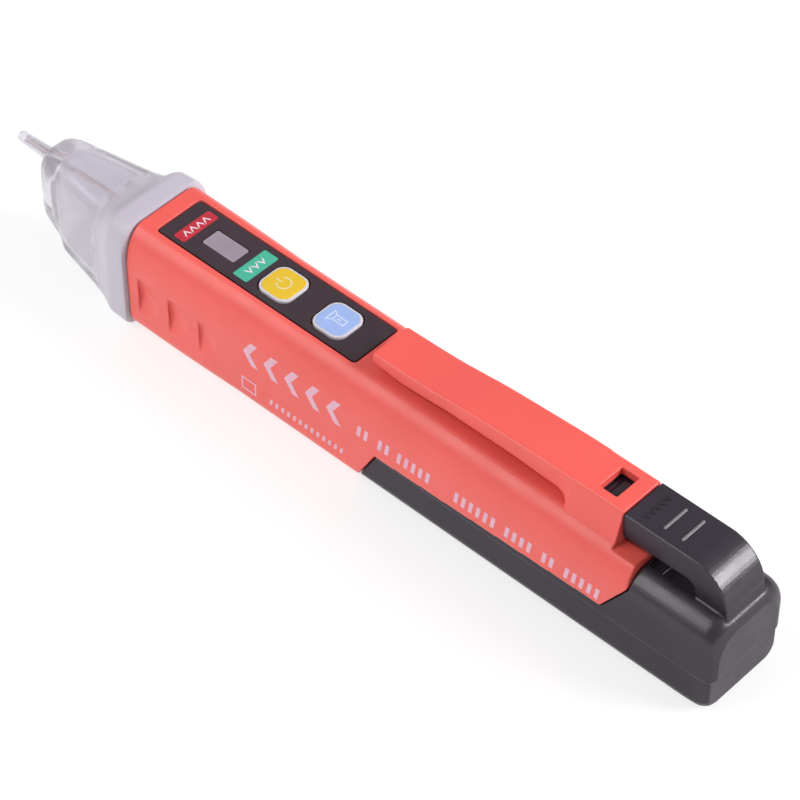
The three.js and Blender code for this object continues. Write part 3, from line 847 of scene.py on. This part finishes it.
def cell_wrap():
    """A foil wrap with a lighter band near the front end of each cell."""
    look = Look("cell_wrap")
    radians_per_metre = 2 * math.pi / (CELL_PITCH * MM)
    band_middle = (CELL_START + 6.5 - MIDDLE) * MM
    wave = look.node("ShaderNodeTexWave", wave_type="BANDS", bands_direction="X")
    wave.inputs["Scale"].default_value = radians_per_metre / 20
    wave.inputs["Phase Offset"].default_value = math.pi - band_middle * radians_per_metre
    look.link(look.place, wave.inputs["Vector"])
    band = look.ranged(wave.outputs["Fac"], 0, 1, 0.87, 0.89)
    tone = look.mixed(look.ranged(look.noise(300, 3), 0, 1), (0.03, 0.10, 0.26), (0.05, 0.15, 0.33))
    tone = look.mixed(band, tone, (0.55, 0.42, 0.2))
    look.feed(tone, "Base Color")
    look.feed(look.ranged(look.noise(500, 3), 0.22, 0.36), "Roughness")
    look.feed(look.bump(look.noise(600, 3), 0.15, 0.03 * MM), "Normal")
    look.set(Metallic=0.35)
    return look.material


# ---------------------------------------------------------------- build

RED = red_plastic()
DARK = dark_plastic()
CLEAR = clear_plastic()
FILM = film()
NICKEL = metal("nickel_steel", (0.66, 0.65, 0.63), 0.28)
RUBBER = moulded("black_rubber", (0.025, 0.024, 0.026), 0.7, 2600, 0.04).material
CHIP_BLACK = moulded("component_black", (0.018, 0.018, 0.02), 0.5, 3600, 0.02).material
# The ribs' lighter grey is a painted highlight: it stands in for the light that the ribs' raised edges
# catch.
PAINTED_RIB_HIGHLIGHT = moulded("ribs_painted_highlight", (0.16, 0.145, 0.16), 0.3, 3300, 0.02).material
PINK_INK = print_ink("side_ink", (0.69, 0.39, 0.48))
WHITE_INK = print_ink("badge_ink", (0.70, 0.63, 0.66))
RIM = keycap("key_rim", (0.55, 0.52, 0.56))
YELLOW = keycap("power_face", (0.67, 0.44, 0.02))
BLUE = keycap("light_face", (0.29, 0.40, 0.69))

CAD_LOOKS = {
    "nose_seal": RUBBER,
    "keypad_panel": FILM,
    "display_window": display_plastic(),
    "display_module": print_ink("display_glass", (0.38, 0.36, 0.40), 0.2),
    "display_connector": RUBBER,
    "main_board": board(),
    "controller_chip": CHIP_BLACK,
    "buzzer": CHIP_BLACK,
    "sensing_antenna": metal("copper_wire", (0.72, 0.5, 0.38), 0.3),
    "red_indicator": lens("red_lens", (0.6, 0.03, 0.03)),
    "green_indicator": lens("green_lens", (0.04, 0.45, 0.14)),
    "torch_lamp": lens("clear_lens", (0.85, 0.85, 0.8)),
    "contact_carrier": DARK,
    "front_contact": NICKEL,
    "return_leaf": NICKEL,
    "board_screw_1": NICKEL,
    "board_screw_2": NICKEL,
    "power_switch": NICKEL,
    "light_switch": NICKEL,
    "power_plunger": CHIP_BLACK,
    "light_plunger": CHIP_BLACK,
    "front_cell": cell_wrap(),
    "rear_contact": NICKEL,
    "rear_spring": NICKEL,
    "return_strip": NICKEL,
}
CAD_LOOKS["rear_cell"] = CAD_LOOKS["front_cell"]


def dress_cad_nodes():
    for name, look in CAD_LOOKS.items():
        node = NODES[name]
        node.data.materials.clear()
        node.data.materials.append(look)
        bevel(node, 0.00006, 2)


def build_mouldings():
    shell = place(housing_shell(), "housing_shell", "housing", RED)
    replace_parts(shell, "upper_housing")
    arm = place(clip_arm(), "clip_arm", None, RED)
    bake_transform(arm)
    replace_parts(arm, "pocket_clip")
    drawer = place(drawer_shell(), "drawer_shell", None, DARK)
    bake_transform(drawer)
    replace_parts(drawer, "battery_drawer", "release_latch")
    nose = place(nose_shell(), "nose_shell", "housing", CLEAR)
    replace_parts(nose, "nose_cone")


def build_keys():
    icons = {"power": power_icon, "light": torch_icon}
    faces = {"power": YELLOW, "light": BLUE}
    inks = {
        "power": print_ink("power_ink", (0.70, 0.58, 0.28)),
        "light": print_ink("light_ink", (0.52, 0.60, 0.76)),
    }
    for use, x in BUTTONS.items():
        outline = round_plate(x, 0, BUTTON_SIZE, BUTTON_SIZE, 2.0, 10)
        cap = domed_plate(outline, x, 18.8, PANEL_TOP + BUTTON_RISE, 0.0, 0.16)
        flange = prism(round_plate(x, 0, BUTTON_FLANGE, BUTTON_FLANGE, 2.2), "z", 18.5, 19.2)
        combine(cap, "UNION", flange, post(x, 17.3, 18.8, 1.2))
        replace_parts(place(cap, f"{use}_cap", f"{use}_key", RIM), f"{use}_button")
        outline = round_plate(x, 0, BUTTON_FACE, BUTTON_FACE, 1.8, 10)
        face = domed_plate(outline, x, PANEL_TOP, PANEL_TOP + BUTTON_RISE + 0.05, 0.05, 0.08)
        place(face, f"{use}_face", f"{use}_key", faces[use])
        icon = stamp(icons[use](x), from_above, PANEL_TOP + 0.2, PANEL_TOP + 0.37)
        place(icon, f"{use}_icon", f"{use}_key", inks[use], smooth=False)


def build_badges():
    # x, length, width, corner radius, colour, which way the chevrons point, and how many there are.
    plates = {
        "high": (44.35, 2.5, 8.0, 0.45, (0.47, 0.020, 0.036), -1, 4),
        "low": (57.9, 3.1, 7.4, 0.3, (0.055, 0.40, 0.27), 1, 3),
    }
    for name, (x, length, width, radius, colour, facing, count) in plates.items():
        outline = round_plate(x, 0, length, width, radius)
        plate = stamp([outline], from_above, PANEL_TOP - 0.05, PANEL_TOP + 0.03)
        ink = print_ink(f"{name}_ink", colour, 0.35)
        place(plate, f"{name}_badge", "housing", ink, smooth=False)
        pitch = 1.45
        marks = [chevron(x, (i - (count - 1) / 2) * pitch, 1.15, 1.55, 0.5, facing) for i in range(count)]
        stamped = stamp(marks, from_above, PANEL_TOP, PANEL_TOP + 0.06)
        place(stamped, f"{name}_marks", "housing", WHITE_INK, smooth=False)


def build_side_marks():
    """Generic strokes and chevrons where the housing is printed."""
    # Rows of strokes: start, how many, and which one is left out.
    marks = [closed_band([(62.9, 3.6), (65.9, 3.6), (65.9, 6.0), (62.9, 6.0)], 0.3)]
    for i in range(5):
        x = 63.4 + 4.6 * i
        marks += [slanted(x, 12.4, 1.5, 2.5, 1.7), slanted(x + 1.7, 9.9, 1.5, 2.5, -1.7)]
    rows = ((88.3, 5, 2), (96.9, 5, 6), (108.9, 6, 6), (119.3, 7, 4), (131.3, 5, 6))
    for start, count, gap in rows:
        marks += [slanted(start + 1.5 * i, 10.6, 0.75, 2.4, 0.45) for i in range(count) if i != gap]
    marks += [slanted(69.0 + 1.3 * i, 3.9, 0.6, 1.2, 0.25) for i in range(13)]
    stamped = stamp(marks, on_near_side, -0.05, 0.025)
    place(stamped, "side_marks", "housing", PINK_INK, smooth=False)


def build_latch_marks():
    ribs = [round_plate(x, 0, 0.5, 5.3, 0.24) for x in (144.8, 148.2)]
    # The ribs take the lighter grey of the painted highlight, not the latch's own dark plastic.
    rib = bevel(stamp(ribs, from_above, ARM_TOP - 0.3, ARM_TOP + 0.24), 0.14)
    place(rib, "press_ribs", "latch", PAINTED_RIB_HIGHLIGHT)
    arrows = [chevron(141.4, -2.4 + 1.2 * i, 0.9, 1.1, 0.35, 1) for i in range(5)]
    arrow = stamp(arrows, from_above, ARM_TOP - 0.3, ARM_TOP + 0.1)
    place(arrow, "press_arrows", "latch", DARK, smooth=False)


# ---------------------------------------------------------------- camera, floor and light

def aim(obj, target, azimuth, elevation, distance):
    """Puts obj that far from the target and turns it there. From azimuth 0 it looks along +Y."""
    a, e = math.radians(azimuth), math.radians(elevation)
    back = Vector((math.sin(a) * math.cos(e), -math.cos(a) * math.cos(e), math.sin(e)))
    obj.location = Vector(target) + back * distance
    obj.rotation_mode = "QUATERNION"
    obj.rotation_quaternion = (-back).to_track_quat("-Z", "Y")


def add_camera():
    data = bpy.data.cameras.new("camera")
    data.lens = 151.0
    data.sensor_width = 36.0
    data.clip_start, data.clip_end = 0.01, 20
    camera = bpy.data.objects.new("camera", data)
    bpy.context.scene.collection.objects.link(camera)
    aim(camera, (0.00875, 0, 0.0126), 43.03, 46.09, 0.5284)
    bpy.context.scene.camera = camera


def softbox(name, azimuth, elevation, distance, size, power, colour=(1, 1, 1)):
    data = bpy.data.lights.new(name, "AREA")
    data.shape = "DISK"
    data.size = size
    data.energy = power
    data.color = colour
    lamp = bpy.data.objects.new(name, data)
    bpy.context.scene.collection.objects.link(lamp)
    aim(lamp, (0, 0, 0), azimuth, elevation, distance)


def add_floor():
    look = Look("floor")
    tone = look.mixed(look.ranged(look.noise(6, 2), 0, 1), (0.31, 0.31, 0.312), (0.33, 0.33, 0.332))
    look.feed(tone, "Base Color")
    look.feed(look.ranged(look.noise(40, 2), 0.55, 0.65), "Roughness")
    look.set(Emission_Color=(1.0, 1.0, 1.0, 1.0), Emission_Strength=0.68)
    half = 3.0
    corners = [(x, y, -0.0001) for x, y in ((-half, -half), (half, -half), (half, half), (-half, half))]
    floor = mesh_object("floor", corners, [[0, 1, 2, 3]])
    floor.data.materials.append(look.material)


def add_lights():
    world = bpy.data.worlds.new("studio")
    world.use_nodes = True
    sky = world.node_tree.nodes["Background"]
    sky.inputs["Color"].default_value = (1.0, 0.98, 1.0, 1.0)
    sky.inputs["Strength"].default_value = 0.42
    bpy.context.scene.world = world
    bpy.context.scene.view_settings.view_transform = "Standard"
    softbox("far_rear", 122, 30, 0.9, 0.5, 9.0, (0.97, 0.96, 1.0))
    softbox("near_left", -36, 42, 0.9, 0.8, 5.4)


dress_cad_nodes()
build_mouldings()
build_keys()
build_badges()
build_side_marks()
build_latch_marks()
add_floor()
add_camera()
add_lights()
